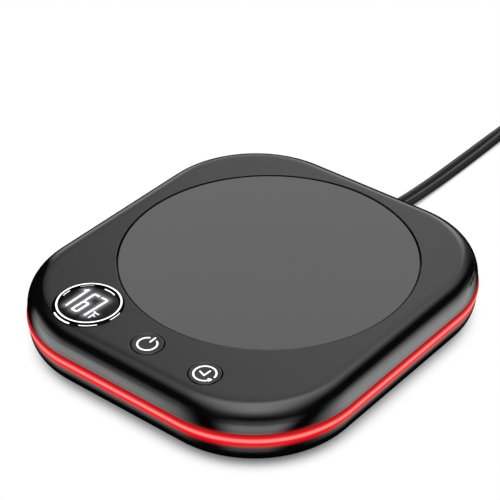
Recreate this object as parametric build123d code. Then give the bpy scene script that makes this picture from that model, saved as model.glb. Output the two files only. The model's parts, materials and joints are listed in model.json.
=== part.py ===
from build123d import *
import os
from math import cos, pi, radians, sin, tan

# An electric mug warmer: a rounded-square case with a round glass warming plate, a round display and two
# push buttons in its deck, a lit band all round its side, and a flat two-core lead with a two-blade plug.
# Millimetres. The origin is on the table under the middle of the case, +Z up, the buttons towards -Y and
# the lead towards +Y.

# Case outline, measured at the crown of the light band
HALF_X = 60.0
HALF_Y = 65.5
CORNER_R = 36.7
DECK_Z = 21.6
BASE_Z = 1.2  # the case floor stands this high on its feet
BAND_LOW_Z = 10.2
BAND_HIGH_Z = 13.4
BAND_CROWN = 0.4  # how far the light band stands proud of the shells
WALL = 2.0
DECK_ROLL = 7.6  # width of the shoulder between the flat deck and the side
BASE_ROLL = 6.6  # how far the base tucks in under the side
ROLL_POWER = 0.8  # 1 would make each shoulder a quarter ellipse, 0 a square corner
DECK_FLATS, BASE_FLATS = 4, 3  # faces along each shoulder
LED_INSET = 5.0  # outer face of the lamp boards behind the light band

# Warming plate and heater stack, from the top down
PLATE_Y = 7.1
PLATE_R = 48.85
PLATE_DROP = 0.3  # plate top below the deck
PLATE_THICK = 3.0
PLATE_GAP = 0.45
BOND_THICK = 0.5  # silicone under the plate
CUP_WALL = 1.4
LEDGE_R = 45.5
LEDGE_THICK = 1.6
SPREADER_THICK = 1.2
HEATER_THICK = 0.6
INSULATION_THICK = 2.0
SHIELD_THICK = 0.6
SENSOR_R = 1.8
LEAD_HOLE_R = 1.3
HEATER_LEAD_X = 3.0
HEATER_LEAD_Y = 22.0
SHIELD_SCREW_R = 48.3

# Controls
DISPLAY_X, DISPLAY_Y = -27.5, -48.0
DISPLAY_R = 10.75
DISPLAY_RISE = 0.7
RING_THICK = 0.4
LENS_R = 9.2
DISPLAY_SIDES = 48  # the display's circles are drawn with this many sides
POWER_X, TIMER_X, BUTTON_Y = 0.2, 23.0, -51.75
BUTTON_R = 5.1
BUTTON_GAP = 0.3
BUTTON_RISE = 0.15
BUTTON_TRAVEL = 0.5
BUTTON_TAB = 1.2  # how far the cap's two tabs reach under the deck
PLUNGER_HALF = 1.3
PLUNGER_GAP = 0.25
SWITCH_SIDE = 6.2
SWITCH_HEIGHT = 3.5
BOARD_THICK = 1.6
CONTROL_BOARD_TOP = 14.5
POWER_BOARD_TOP = 6.8
POWER_BOARD_X, POWER_BOARD_Y = 70.0, 40.0
POWER_BOARD_MID_Y = 22.0

# Fasteners and feet
CASE_SCREW_X, CASE_SCREW_Y = 44.0, 40.0
CASE_SPLIT_Z = 9.0  # the posts of the two shells meet here
FOOT_R = 5.0
CASE_SCREW_SEAT = 4.8  # under the heads, which sit deep over the feet

# Lead: a flat two-core cord, 5.7 wide and 2.85 thick, and its two-blade plug
CORD_WIDE = 5.7
CORD_THICK = 2.85
RELIEF_START = (0.0, 58.0, 7.1)
RELIEF_TILT = 10.0
RELIEF_TIP = 18.0
COIL_X, COIL_Y = 35.8, 171.0
COIL_TURN_R = 35.8  # centre line of the outermost turn
COIL_STEP = 2.95
COIL_TURNS = 3
PLUG_X, PLUG_Y = 87.5, 166.0  # where the lead enters the plug's tail
PLUG_AXIS_Z = 7.0
PLUG_TAIL = 12.0
PLUG_BODY = 25.0
BLADE_SPACING = 12.7

# Levels that follow from the sizes above
DECK_LOW = DECK_Z - WALL
FLOOR_Z = BASE_Z + WALL
PLATE_TOP = DECK_Z - PLATE_DROP
PLATE_LOW = PLATE_TOP - PLATE_THICK
LEDGE_TOP = PLATE_LOW - BOND_THICK
LEDGE_LOW = LEDGE_TOP - LEDGE_THICK
SPREADER_LOW = PLATE_LOW - SPREADER_THICK
HEATER_LOW = SPREADER_LOW - HEATER_THICK
INSULATION_LOW = HEATER_LOW - INSULATION_THICK
SHIELD_LOW = INSULATION_LOW - SHIELD_THICK
SWITCH_TOP = CONTROL_BOARD_TOP + SWITCH_HEIGHT
POCKET_R = PLATE_R + PLATE_GAP
SIDE = BAND_CROWN  # inset of the two shells from the outline


def rim_path():
    """The case outline as one closed wire, starting in the middle of its +X side."""
    ax, ay, r = HALF_X - CORNER_R, HALF_Y - CORNER_R, CORNER_R
    return Wire(
        [
            Line((HALF_X, 0), (HALF_X, ay)),
            CenterArc((ax, ay), r, 0, 90),
            Line((ax, HALF_Y), (-ax, HALF_Y)),
            CenterArc((-ax, ay), r, 90, 90),
            Line((-HALF_X, ay), (-HALF_X, -ay)),
            CenterArc((-ax, -ay), r, 180, 90),
            Line((-ax, -HALF_Y), (ax, -HALF_Y)),
            CenterArc((ax, -ay), r, 270, 90),
            Line((HALF_X, -ay), (HALF_X, 0)),
        ]
    )


RIM = rim_path()


# ---------------------------------------------------------------- helpers


def at(x, y, z=0.0):
    return Pos(x, y, z)


def drum(radius, low, high, x=0.0, y=0.0):
    """A plain round solid between two heights."""
    return at(x, y, low) * Cylinder(radius, high - low, align=(Align.CENTER, Align.CENTER, Align.MIN))


def block(size_x, size_y, low, high, x=0.0, y=0.0):
    """A plain box between two heights."""
    return at(x, y, low) * Box(size_x, size_y, high - low, align=(Align.CENTER, Align.CENTER, Align.MIN))


def prism(radius, sides, low, high, x=0.0, y=0.0):
    """An upright prism, radius measured to its corners, with a flat side towards -Y and +Y."""
    return at(x, y, low) * extrude(RegularPolygon(radius, sides, rotation=180 / sides), high - low)


def outline_sheet(inset):
    """The case outline drawn in by inset."""
    return RectangleRounded(2 * (HALF_X - inset), 2 * (HALF_Y - inset), CORNER_R - inset)


def outline_slab(inset, low, high):
    return at(0, 0, low) * extrude(outline_sheet(inset), high - low)


def round_the_rim(*edges):
    """Sweeps a closed section, drawn as inset from the outline against height, all round the case."""
    section = make_face([Plane.XZ * edge for edge in edges])
    return sweep(section, path=RIM)


def shoulder(x_side, z_side, x_flat, z_flat, flats):
    """Flats along a squarish quarter ellipse, from an upright side to a level deck or floor."""
    turns = [pi / 2 * i / flats for i in range(flats + 1)]
    xs = [x_flat + (x_side - x_flat) * cos(a) ** ROLL_POWER for a in turns]
    zs = [z_side + (z_flat - z_side) * sin(a) ** ROLL_POWER for a in turns]
    return Polyline(*zip(xs, zs))


def case_corners():
    return [(sx * CASE_SCREW_X, sy * CASE_SCREW_Y) for sx in (-1, 1) for sy in (-1, 1)]


def around_plate(radius, count, start_deg):
    """Points on a circle about the middle of the warming plate."""
    turns = [radians(start_deg + 360 * i / count) for i in range(count)]
    return [(radius * cos(a), PLATE_Y + radius * sin(a)) for a in turns]


def screw(x, y, head_r, head_low, head_high, shank_r, shank_end):
    """A hex-head screw whose shank runs up from its head, without its thread."""
    return prism(head_r, 6, head_low, head_high, x, y) + prism(shank_r, 6, head_high, shank_end, x, y)


# ---------------------------------------------------------------- shells


def base_cover():
    inner_side = SIDE + WALL
    flat = SIDE + BASE_ROLL
    x_in, x_out, x_flat = HALF_X - inner_side, HALF_X - SIDE, HALF_X - flat
    shell = round_the_rim(
        shoulder(x_out, BAND_LOW_Z, x_flat, BASE_Z, BASE_FLATS),
        Polyline(
            (x_flat, BASE_Z),
            (x_flat, FLOOR_Z),
            (x_in - 2.4, FLOOR_Z),
            (x_in, FLOOR_Z + 2.8),
            (x_in, BAND_LOW_Z),
            (x_out, BAND_LOW_Z),
        ),
    )
    shell += outline_slab(flat, BASE_Z, FLOOR_Z)
    for x, y in case_corners():
        shell += prism(4.2, 6, FLOOR_Z - 0.5, CASE_SPLIT_Z, x, y)
    for x, y in power_board_posts():
        shell += prism(2.6, 6, FLOOR_Z - 0.5, POWER_BOARD_TOP - BOARD_THICK, x, y)
    for x, y in case_corners():
        shell -= prism(2.8, 6, 0, CASE_SCREW_SEAT, x, y)
        shell -= prism(1.5, 6, 0, CASE_SPLIT_Z + 1, x, y)
    for x, y in power_board_posts():
        shell -= prism(0.95, 6, FLOOR_Z, 7, x, y)
    # Vent slots under the supply board
    for i in range(5):
        shell -= block(2.2, 26, 0, FLOOR_Z + 1, 8.0 * (i - 2), POWER_BOARD_MID_Y)
    # The lead comes in through the back wall
    return shell - relief_grip(0.05)


def top_housing():
    inner_side = SIDE + WALL
    flat = SIDE + DECK_ROLL
    x_in, x_out, x_flat = HALF_X - inner_side, HALF_X - SIDE, HALF_X - flat
    shell = round_the_rim(
        shoulder(x_out, BAND_HIGH_Z, x_flat, DECK_Z, DECK_FLATS),
        Polyline(
            (x_flat, DECK_Z),
            (x_flat, DECK_LOW),
            (x_in - 2.8, DECK_LOW),
            (x_in, DECK_LOW - 3.0),
            (x_in, BAND_HIGH_Z),
            (x_out, BAND_HIGH_Z),
        ),
    )
    shell += outline_slab(flat, DECK_LOW, DECK_Z)
    # A cup with a ledge carries the plate
    shell += drum(POCKET_R + CUP_WALL, LEDGE_LOW, DECK_LOW + 1, 0, PLATE_Y)
    for x, y in around_plate(SHIELD_SCREW_R, 4, 45):
        shell += prism(2.5, 6, INSULATION_LOW, LEDGE_LOW + 0.5, x, y)
    for x, y in case_corners():
        shell += prism(2.8, 6, CASE_SPLIT_Z, DECK_LOW + 0.5, x, y)
    for x, y in CONTROL_BOARD_POSTS:
        shell += prism(1.9, 6, CONTROL_BOARD_TOP, DECK_LOW + 0.5, x, y)
    shell -= drum(POCKET_R, LEDGE_TOP, DECK_Z + 1, 0, PLATE_Y)
    shell -= drum(LEDGE_R, LEDGE_LOW - 3, DECK_Z, 0, PLATE_Y)
    for x, y in around_plate(SHIELD_SCREW_R, 4, 45):
        shell -= prism(0.95, 6, INSULATION_LOW - 1, LEDGE_TOP - 0.4, x, y)
    for x, y in case_corners():
        shell -= prism(1.3, 6, CASE_SPLIT_Z - 1, 17, x, y)
    for x, y in CONTROL_BOARD_POSTS:
        shell -= prism(0.95, 6, CONTROL_BOARD_TOP - 1, 18.6, x, y)
    shell -= drum(DISPLAY_R + 0.05, DECK_LOW - 1, DECK_Z + 1, DISPLAY_X, DISPLAY_Y)
    for x in (POWER_X, TIMER_X):
        shell -= drum(BUTTON_R + BUTTON_GAP, DECK_LOW - 1, DECK_Z + 1, x, BUTTON_Y)
    return shell


def light_band():
    """Diffuser between the shells, slightly crowned, and as deep as their walls and a little more."""
    x_out = HALF_X - SIDE
    x_back = x_out - WALL - 0.6
    return round_the_rim(
        Polyline(
            (x_out, BAND_LOW_Z),
            (HALF_X, BAND_LOW_Z + 2 * BAND_CROWN),
            (HALF_X, BAND_HIGH_Z - 2 * BAND_CROWN),
            (x_out, BAND_HIGH_Z),
            (x_back, BAND_HIGH_Z),
            (x_back, BAND_LOW_Z),
            close=True,
        )
    )


def beside_band(piece, length_x, length_y, count):
    """Copies of a piece in the straight stretches behind the band, count to each, facing outwards."""
    middle = (BAND_LOW_Z + BAND_HIGH_Z) / 2
    placed = []
    for i in range(count):
        share = (i + 0.5) / count - 0.5
        for side in (0, 180):
            turn = Rot(0, 0, side)
            placed.append(turn * at(HALF_X - LED_INSET, share * length_y, middle) * piece)
            placed.append(turn * at(share * length_x, HALF_Y - LED_INSET, middle) * Rot(0, 0, 90) * piece)
    return Compound(placed)


def led_boards():
    """Four narrow boards on edge on the floor, one in each straight stretch, with a gap for the lead."""
    low = FLOOR_Z - (BAND_LOW_Z + BAND_HIGH_Z) / 2
    board = Box(1.0, 40, BAND_HIGH_Z - 0.2 - FLOOR_Z, align=(Align.MAX, Align.CENTER, Align.MIN))
    gap = block(18, 4, FLOOR_Z - 1, BAND_LOW_Z, 0, HALF_Y - LED_INSET)
    return Compound([one - gap for one in beside_band(at(0, 0, low) * board, 0, 0, 1).solids()])


def band_leds():
    """Lamps on the boards, which shine into the band's back face."""
    return beside_band(Box(0.9, 2.8, 2.4, align=(Align.MIN, Align.CENTER, Align.CENTER)), 40, 40, 4)


def rubber_feet():
    return Compound([prism(FOOT_R, 16, 0, BASE_Z, x, y) for x, y in case_corners()])


def case_screws():
    return Compound([screw(x, y, 2.5, CASE_SCREW_SEAT - 1.5, CASE_SCREW_SEAT, 1.25, 16.0) for x, y in case_corners()])


# ---------------------------------------------------------------- plate and heater


def warming_plate():
    return drum(PLATE_R, PLATE_LOW, PLATE_TOP, 0, PLATE_Y)


def bond_pads():
    """Silicone pads that hold the plate on its ledge, one over each screw boss."""
    pad = block(9, 2.6, LEDGE_TOP, PLATE_LOW, 0, (LEDGE_R + PLATE_R) / 2)
    return Compound([at(0, PLATE_Y) * Rot(0, 0, 45 + 90 * i) * pad for i in range(4)])


def heat_spreader():
    return prism(LEDGE_R - 0.5, 8, SPREADER_LOW, PLATE_LOW, 0, PLATE_Y)


def heater_element():
    """Eight-sided mica sheet under the spreader, with its resistance ribbon in a serpentine below it."""
    sheet = prism(LEDGE_R - 2, 8, HEATER_LOW + 0.2, SPREADER_LOW, 0, PLATE_Y)
    ribbon = Sketch()
    for i in range(7):
        ribbon += at(0, 9.0 * (i - 3)) * Rectangle(46, 3)
    for i in range(6):
        ribbon += at(21.5 if i % 2 else -21.5, 9.0 * (i - 2.5)) * Rectangle(3, 12)
    element = sheet + at(0, PLATE_Y, HEATER_LOW) * extrude(ribbon, 0.3)
    return element - block(2 * SENSOR_R + 1.2, 2 * SENSOR_R + 1.2, HEATER_LOW - 1, SPREADER_LOW, 0, PLATE_Y)


def insulation_pad():
    pad = prism(LEDGE_R - 2, 8, INSULATION_LOW, HEATER_LOW, 0, PLATE_Y)
    return pad - lead_holes(INSULATION_LOW - 1, HEATER_LOW + 1)


def lead_holes(low, high):
    """Clear holes for the sensor and the two heater leads."""
    holes = block(2 * SENSOR_R + 0.8, 2 * SENSOR_R + 0.8, low, high, 0, PLATE_Y)
    for side in (-1, 1):
        holes += prism(LEAD_HOLE_R, 6, low, high, side * HEATER_LEAD_X, HEATER_LEAD_Y)
    return holes


def heat_shield():
    """Eight-sided folded tray under the insulation, with four ears screwed to the ledge."""
    rim_r = LEDGE_R - 0.4
    tray = prism(rim_r, 8, SHIELD_LOW, HEATER_LOW, 0, PLATE_Y)
    tray -= prism(rim_r - 1.2 * SHIELD_THICK, 8, INSULATION_LOW, HEATER_LOW + 1, 0, PLATE_Y)
    ear = block(8, 12, SHIELD_LOW, INSULATION_LOW, 0, SHIELD_SCREW_R - 2)
    ear -= prism(1.2, 6, SHIELD_LOW - 1, INSULATION_LOW + 1, 0, SHIELD_SCREW_R)
    for i in range(4):
        tray += at(0, PLATE_Y) * Rot(0, 0, 45 + 90 * i) * ear
    return tray - lead_holes(SHIELD_LOW - 1, INSULATION_LOW + 1)


def shield_screws():
    spots = around_plate(SHIELD_SCREW_R, 4, 45)
    return Compound([screw(x, y, 1.9, SHIELD_LOW - 1.1, SHIELD_LOW, 0.9, 17.0) for x, y in spots])


def temperature_sensor():
    """Thermistor probe that touches the spreader, with its square clip under the shield."""
    probe = prism(SENSOR_R, 8, SHIELD_LOW - 2.4, SPREADER_LOW, 0, PLATE_Y)
    return probe + block(7, 7, SHIELD_LOW - 1.0, SHIELD_LOW, 0, PLATE_Y)


def thermal_fuse():
    """Cut-out cartridge held against the shield, with its two flat leads."""
    radius = 1.9
    middle = Vector(18, -10, SHIELD_LOW - radius)
    can = extrude(Plane(origin=middle, z_dir=(1, 0, 0)) * RegularPolygon(radius, 8), 4.5, both=True)
    return can + block(20, 0.8, middle.Z - 0.3, middle.Z + 0.3, middle.X, middle.Y)


# ---------------------------------------------------------------- controls

CONTROL_BOARD_POSTS = [(-39.5, -38.0), (-12.0, -56.0), (11.5, -55.6), (36.0, -46.0)]


def control_board():
    """Crescent board between the plate cup and the front wall."""
    front = [(-42.5, -50.5), (-33.3, -56.3), (-23.3, -58.1), (23.3, -58.1), (33.3, -56.3), (39.5, -52.5)]
    sheet = Polygon((-42.5, -35.5), *front, (39.5, -35.5), align=None)
    sheet -= at(0, PLATE_Y) * Circle(POCKET_R + 3.7)
    sheet -= at(-CASE_SCREW_X, -CASE_SCREW_Y) * Rectangle(6.4, 6.4)
    board = at(0, 0, CONTROL_BOARD_TOP - BOARD_THICK) * extrude(sheet, BOARD_THICK)
    for x, y in CONTROL_BOARD_POSTS:
        board -= prism(1.15, 6, 0, CONTROL_BOARD_TOP + 1, x, y)
    return board


def control_board_screws():
    low = CONTROL_BOARD_TOP - BOARD_THICK
    return Compound([screw(x, y, 1.8, low - 0.9, low, 0.9, 18.2) for x, y in CONTROL_BOARD_POSTS])


def display_collar(outer, inner, low, high):
    ring = prism(outer, DISPLAY_SIDES, low, high, DISPLAY_X, DISPLAY_Y)
    return ring - prism(inner, DISPLAY_SIDES, low - 1, high + 1, DISPLAY_X, DISPLAY_Y)


def display_bezel():
    """Raised black ring in the deck, round the lens."""
    return display_collar(DISPLAY_R, LENS_R + 0.05, DECK_LOW - 0.9, DECK_Z + DISPLAY_RISE - RING_THICK)


def display_light_ring():
    """White light guide on top of the bezel."""
    top = DECK_Z + DISPLAY_RISE
    return display_collar(DISPLAY_R - 0.12, DISPLAY_R - 1.08, top - RING_THICK, top)


def display_lens():
    """Smoked window flush with the deck, inside the bezel."""
    return prism(LENS_R, DISPLAY_SIDES, DECK_Z - 1.2, DECK_Z - 0.05, DISPLAY_X, DISPLAY_Y)


def display_module():
    """Numeric lamp block under the lens, with a cell for each of its segments."""
    top = DECK_Z - 1.2
    module = block(14, 11, CONTROL_BOARD_TOP, top, DISPLAY_X, DISPLAY_Y)
    for column in (-3.4, 0.6, 4.6):
        for row in (-2.5, 2.5):
            module -= block(2.6, 3.8, top - 1, top + 1, DISPLAY_X + column, DISPLAY_Y + row)
    return module


def button_cap(x):
    """Round cap with two hidden tabs that stop under the deck."""
    cap = drum(BUTTON_R, DECK_LOW - 0.9, DECK_Z + BUTTON_RISE, x, BUTTON_Y)
    return cap + block(2 * (BUTTON_R + BUTTON_TAB), 3, DECK_LOW - 0.9, DECK_LOW - 0.1, x, BUTTON_Y)


def switch_body(x):
    """Square tactile switch with a square well for its plunger."""
    well = 2 * PLUNGER_HALF + 2 * PLUNGER_GAP
    body = block(SWITCH_SIDE, SWITCH_SIDE, CONTROL_BOARD_TOP, SWITCH_TOP, x, BUTTON_Y)
    return body - block(well, well, CONTROL_BOARD_TOP + 0.9, SWITCH_TOP + 1, x, BUTTON_Y)


def switch_plunger(x):
    """Stem between the cap and the switch dome."""
    low = CONTROL_BOARD_TOP + 0.9 + BUTTON_TRAVEL + 0.3
    return block(2 * PLUNGER_HALF, 2 * PLUNGER_HALF, low, DECK_LOW - 0.9, x, BUTTON_Y)


def microcontroller():
    """Chip on two rows of legs."""
    chip = block(6.8, 4.8, CONTROL_BOARD_TOP + 0.1, CONTROL_BOARD_TOP + 1.6, 11.5, -50.0)
    return chip + block(5.6, 6.4, CONTROL_BOARD_TOP, CONTROL_BOARD_TOP + 0.6, 11.5, -50.0)


def buzzer():
    can = drum(4.4, CONTROL_BOARD_TOP, CONTROL_BOARD_TOP + 4, -12.6, -49.0)
    return can - prism(0.9, 6, CONTROL_BOARD_TOP + 3, CONTROL_BOARD_TOP + 5, -12.6, -49.0)


# ---------------------------------------------------------------- supply board and wiring


def power_board_posts():
    dx, dy = POWER_BOARD_X / 2 - 4, POWER_BOARD_Y / 2 - 4
    return [(sx * dx, POWER_BOARD_MID_Y + sy * dy) for sx in (-1, 1) for sy in (-1, 1)]


def power_board():
    board = block(POWER_BOARD_X, POWER_BOARD_Y, POWER_BOARD_TOP - BOARD_THICK, POWER_BOARD_TOP, 0, POWER_BOARD_MID_Y)
    board = chamfer(board.edges().filter_by(Axis.Z), 2)
    for x, y in power_board_posts():
        board -= prism(1.15, 6, 0, POWER_BOARD_TOP + 1, x, y)
    return board


def power_board_screws():
    """Heads on the board, shanks down into the base posts."""
    spots = power_board_posts()
    heads = [prism(1.8, 6, POWER_BOARD_TOP, POWER_BOARD_TOP + 0.9, x, y) for x, y in spots]
    shanks = [prism(0.9, 6, FLOOR_Z + 0.3, POWER_BOARD_TOP, x, y) for x, y in spots]
    return Compound([head + shank for head, shank in zip(heads, shanks)])


def terminal_block():
    block_y = POWER_BOARD_MID_Y + 16.5
    body = block(16, 6, POWER_BOARD_TOP, POWER_BOARD_TOP + 4.6, 0, block_y)
    for side in (-1, 1):
        body -= prism(1.6, 8, POWER_BOARD_TOP + 3.4, POWER_BOARD_TOP + 6, side * 4.5, block_y)
    return body


def film_capacitor():
    body = block(13, 6, POWER_BOARD_TOP, POWER_BOARD_TOP + 5.4, -20, 33)
    return chamfer(body.edges().filter_by(Axis.Z), 0.8)


def filter_capacitor():
    """Electrolytic can lying on the board."""
    radius = 2.9
    return Plane(origin=(19, 12, POWER_BOARD_TOP + radius), z_dir=(1, 0, 0)) * Cylinder(radius, 11)


def triac():
    """Heater switch lying flat on the board, with its tab and three legs."""
    body = block(8, 7, POWER_BOARD_TOP, POWER_BOARD_TOP + 3, -20, 13)
    tab = block(8, 4.5, POWER_BOARD_TOP, POWER_BOARD_TOP + 1, -20, 18.7)
    tab -= prism(1.6, 8, POWER_BOARD_TOP - 1, POWER_BOARD_TOP + 2, -20, 19)
    legs = block(0.7, 3.5, POWER_BOARD_TOP + 1, POWER_BOARD_TOP + 1.6, -20, 7.8)
    for side in (-1, 1):
        legs += block(0.7, 3.5, POWER_BOARD_TOP + 1, POWER_BOARD_TOP + 1.6, -20 + side * 2.4, 7.8)
    return body + tab + legs


def wire(points, radius):
    """A wire along straight runs, drawn four-sided with mitred corners."""
    path = Polyline(*points)
    start = Plane(origin=path @ 0, z_dir=path % 0)
    return sweep(start * RegularPolygon(radius, 4), path=path, transition=Transition.RIGHT)


def heater_leads():
    """From the heater, down through the shield, to the front of the terminal block."""
    end_y = POWER_BOARD_MID_Y + 13.5
    leads = []
    for side in (-1, 1):
        x = side * HEATER_LEAD_X
        points = [(x, HEATER_LEAD_Y, HEATER_LOW), (x, HEATER_LEAD_Y, 9.2), (side * 4.5, end_y, 9.2)]
        leads.append(wire(points, 0.8))
    return Compound(leads)


def mains_conductors():
    """The lead's two insulated cores, from the strain relief to the back of the terminal block."""
    start_y = RELIEF_START[1] + 3.0
    end_y = POWER_BOARD_MID_Y + 19.5
    leads = []
    for side in (-1, 1):
        points = [(side * 1.4, start_y, 6.6), (side * 1.4, start_y - 6, 6.6), (side * 4.5, end_y, 9.0)]
        leads.append(wire(points, 0.9))
    return Compound(leads)


def sensor_lead():
    """Thin flat pair from the sensor forward to the control board."""
    low = CONTROL_BOARD_TOP - BOARD_THICK
    points = [(0, PLATE_Y, SHIELD_LOW - 2.4), (0, PLATE_Y, 8.4), (9, -50, 8.4), (9, -50, low)]
    return wire(points, 0.6)


def board_ribbon():
    """Flat cable between the two boards."""
    low = CONTROL_BOARD_TOP - BOARD_THICK
    path = Polyline((-7, -50, low), (-7, -50, 10.2), (-7, 1, 10.2), (-7, 7.5, POWER_BOARD_TOP + 0.25))
    section = Plane(origin=path @ 0, x_dir=(1, 0, 0), z_dir=path % 0) * Rectangle(9, 0.4)
    return sweep(section, path=path, transition=Transition.RIGHT)


# ---------------------------------------------------------------- lead and plug


def relief_plane(along):
    """A plane square to the strain relief's axis, x to the side and y up."""
    tilt = radians(RELIEF_TILT)
    axis = Vector(0, cos(tilt), -sin(tilt))
    return Plane(origin=Vector(*RELIEF_START) + axis * along, x_dir=(-1, 0, 0), z_dir=axis)


def oval(wide, tall):
    """Flat section with its corners cut, as the moulded lead pieces have."""
    cut = 0.3 * tall
    half, rise = wide / 2, tall / 2
    corners = [(half, rise - cut), (half - cut, rise), (cut - half, rise), (-half, rise - cut)]
    return Polygon(*corners, *[(-x, -z) for x, z in corners], align=None)


def relief_piece(start, end, wide, tall, grow=0.0):
    section = oval(wide + 2 * grow, tall + 2 * grow)
    return extrude(relief_plane(start - grow) * section, end - start + 2 * grow)


def relief_grip(grow=0.0):
    """The neck in the case wall and the flange behind it."""
    return relief_piece(4.4, 8.0, 9.0, 5.0, grow) + relief_piece(3.0, 4.6, 12.6, 5.8, grow)


def strain_relief():
    """Tapered flexible sleeve with three grooves across it."""
    start, taper = 7.4, 4.0
    sleeve = extrude(relief_plane(start) * oval(11.0, 7.0), RELIEF_TIP - start, taper=taper)
    for i in range(3):
        start = relief_plane(9.4 + 2.7 * i)
        core = start * oval(7.4 - 0.3 * i, 3.9 - 0.1 * i)
        sleeve -= extrude(start * Rectangle(16, 16), 1.1) - extrude(core, 1.1)
    return sleeve + relief_grip()


def relief_tip():
    tip = relief_plane(RELIEF_TIP).origin
    return (tip.X, tip.Y, tip.Z)


CORD_LOW_Z = CORD_THICK / 2 + 0.03

CORD_ROUTE = [
    relief_tip(),
    (0.0, relief_tip()[1] + (relief_tip()[2] - CORD_LOW_Z) / tan(radians(RELIEF_TILT)), CORD_LOW_Z),
    (0.0, 149.0, CORD_LOW_Z),
    (0.6, COIL_Y, 2.4),
]

COIL_TAIL_R = COIL_TURN_R - 0.75 * COIL_STEP  # where the last turn leaves the coil

PLUG_ROUTE = [
    (COIL_X, COIL_Y + COIL_TAIL_R, 1.5 * CORD_WIDE),
    (56.0, 203.6, 5.4),
    (73.0, 196.6, 2.2),
    (84.0, 182.5, 3.6),
    (PLUG_X, PLUG_Y, PLUG_AXIS_Z),
]


def flat_cord(name, route):
    """A flat cord along straight runs joined by arcs as large as the runs allow."""
    points = [Vector(*p) for p in route]
    runs = [b - a for a, b in zip(points, points[1:])]
    radii = []
    for before, after in zip(runs, runs[1:]):
        turn = radians(before.get_angle(after))
        radii.append(0.45 * min(before.length, after.length) / tan(turn / 2))
    path = FilletPolyline(*route, radius=radii)
    section = Plane(origin=path @ 0, x_dir=(path % 0).cross(Vector(0, 0, 1)), z_dir=path % 0)
    half, edge = CORD_THICK / 2, CORD_WIDE / 2
    corners = [(edge, 0), (edge - half, half), (half - edge, half)]
    shape = section * Polygon(*corners, *[(-x, -y) for x, y in corners], align=None)
    made = sweep(shape, path=path)
    print(name, "radii", [round(r, 1) for r in radii], "length", round(path.length, 1))
    print(name, "volume", round(made.volume, 1), "section x length", round(shape.area * path.length, 1))
    return made


def power_cord():
    return flat_cord("power_cord", CORD_ROUTE)


def plug_lead():
    return flat_cord("plug_lead", PLUG_ROUTE)


def cord_coil():
    """The envelope of two layers of turns, the cord standing on its edge, drawn forty-sided."""
    outer = COIL_TURN_R + CORD_THICK / 2
    inner = COIL_TURN_R - COIL_TURNS * COIL_STEP - CORD_THICK / 2
    coil = prism(outer, 40, 0, 2 * CORD_WIDE, COIL_X, COIL_Y)
    return coil - prism(inner, 40, -1, 2 * CORD_WIDE + 1, COIL_X, COIL_Y)


def plug_plane(along):
    """A plane square to the plug's axis, which runs towards -Y from where the lead enters."""
    return Plane(origin=(PLUG_X, PLUG_Y - along, PLUG_AXIS_Z), x_dir=(1, 0, 0), z_dir=(0, -1, 0))


def plug_body():
    """Moulded two-blade plug: a ribbed tail, a stepped grip and a flat face."""
    tail = extrude(plug_plane(0) * oval(6.6, 4.0), PLUG_TAIL)
    for i in range(4):
        tail += extrude(plug_plane(3.0 * i) * oval(7.6 + 0.8 * i, 5.0 + 0.8 * i), 1.9)
    grip = extrude(plug_plane(PLUG_TAIL - 0.6) * oval(15, 11), 4)
    grip += extrude(plug_plane(PLUG_TAIL + 3) * oval(20, 12), PLUG_BODY - 8)
    return tail + grip + extrude(plug_plane(PLUG_TAIL + PLUG_BODY - 6) * oval(24, 14), 6)


def plug_blades():
    """Two flat blades, each with a hole near its end."""
    blades = []
    for side in (-1, 1):
        start = plug_plane(PLUG_TAIL + PLUG_BODY)
        blade = extrude(start * (at(side * BLADE_SPACING / 2, 0) * Rectangle(1.5, 6.35)), 17.0)
        hole = Plane(origin=(PLUG_X, PLUG_Y - PLUG_TAIL - PLUG_BODY - 12.3, PLUG_AXIS_Z), z_dir=(1, 0, 0))
        blades.append(blade - extrude(hole * RegularPolygon(1.7, 8), 10, both=True))
    return Compound(blades)


NODES = {
    "base_cover": base_cover,
    "top_housing": top_housing,
    "light_band": light_band,
    "led_boards": led_boards,
    "band_leds": band_leds,
    "rubber_feet": rubber_feet,
    "case_screws": case_screws,
    "warming_plate": warming_plate,
    "bond_pads": bond_pads,
    "heat_spreader": heat_spreader,
    "heater_element": heater_element,
    "insulation_pad": insulation_pad,
    "heat_shield": heat_shield,
    "shield_screws": shield_screws,
    "temperature_sensor": temperature_sensor,
    "thermal_fuse": thermal_fuse,
    "control_board": control_board,
    "control_board_screws": control_board_screws,
    "display_bezel": display_bezel,
    "display_light_ring": display_light_ring,
    "display_lens": display_lens,
    "display_module": display_module,
    "power_button_cap": lambda: button_cap(POWER_X),
    "power_switch_body": lambda: switch_body(POWER_X),
    "power_switch_plunger": lambda: switch_plunger(POWER_X),
    "timer_button_cap": lambda: button_cap(TIMER_X),
    "timer_switch_body": lambda: switch_body(TIMER_X),
    "timer_switch_plunger": lambda: switch_plunger(TIMER_X),
    "microcontroller": microcontroller,
    "buzzer": buzzer,
    "power_board": power_board,
    "power_board_screws": power_board_screws,
    "terminal_block": terminal_block,
    "film_capacitor": film_capacitor,
    "filter_capacitor": filter_capacitor,
    "triac": triac,
    "heater_leads": heater_leads,
    "mains_conductors": mains_conductors,
    "sensor_lead": sensor_lead,
    "board_ribbon": board_ribbon,
    "strain_relief": strain_relief,
    "power_cord": power_cord,
    "cord_coil": cord_coil,
    "plug_lead": plug_lead,
    "plug_body": plug_body,
    "plug_blades": plug_blades,
}

os.makedirs("parts", exist_ok=True)
for node, make in NODES.items():
    export_step(make(), f"parts/{node}.step")
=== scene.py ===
import json
import math
from math import cos, pi, radians, sin

import bmesh
import bpy
from mathutils import Matrix, Vector
from mathutils.geometry import tessellate_polygon


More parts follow.
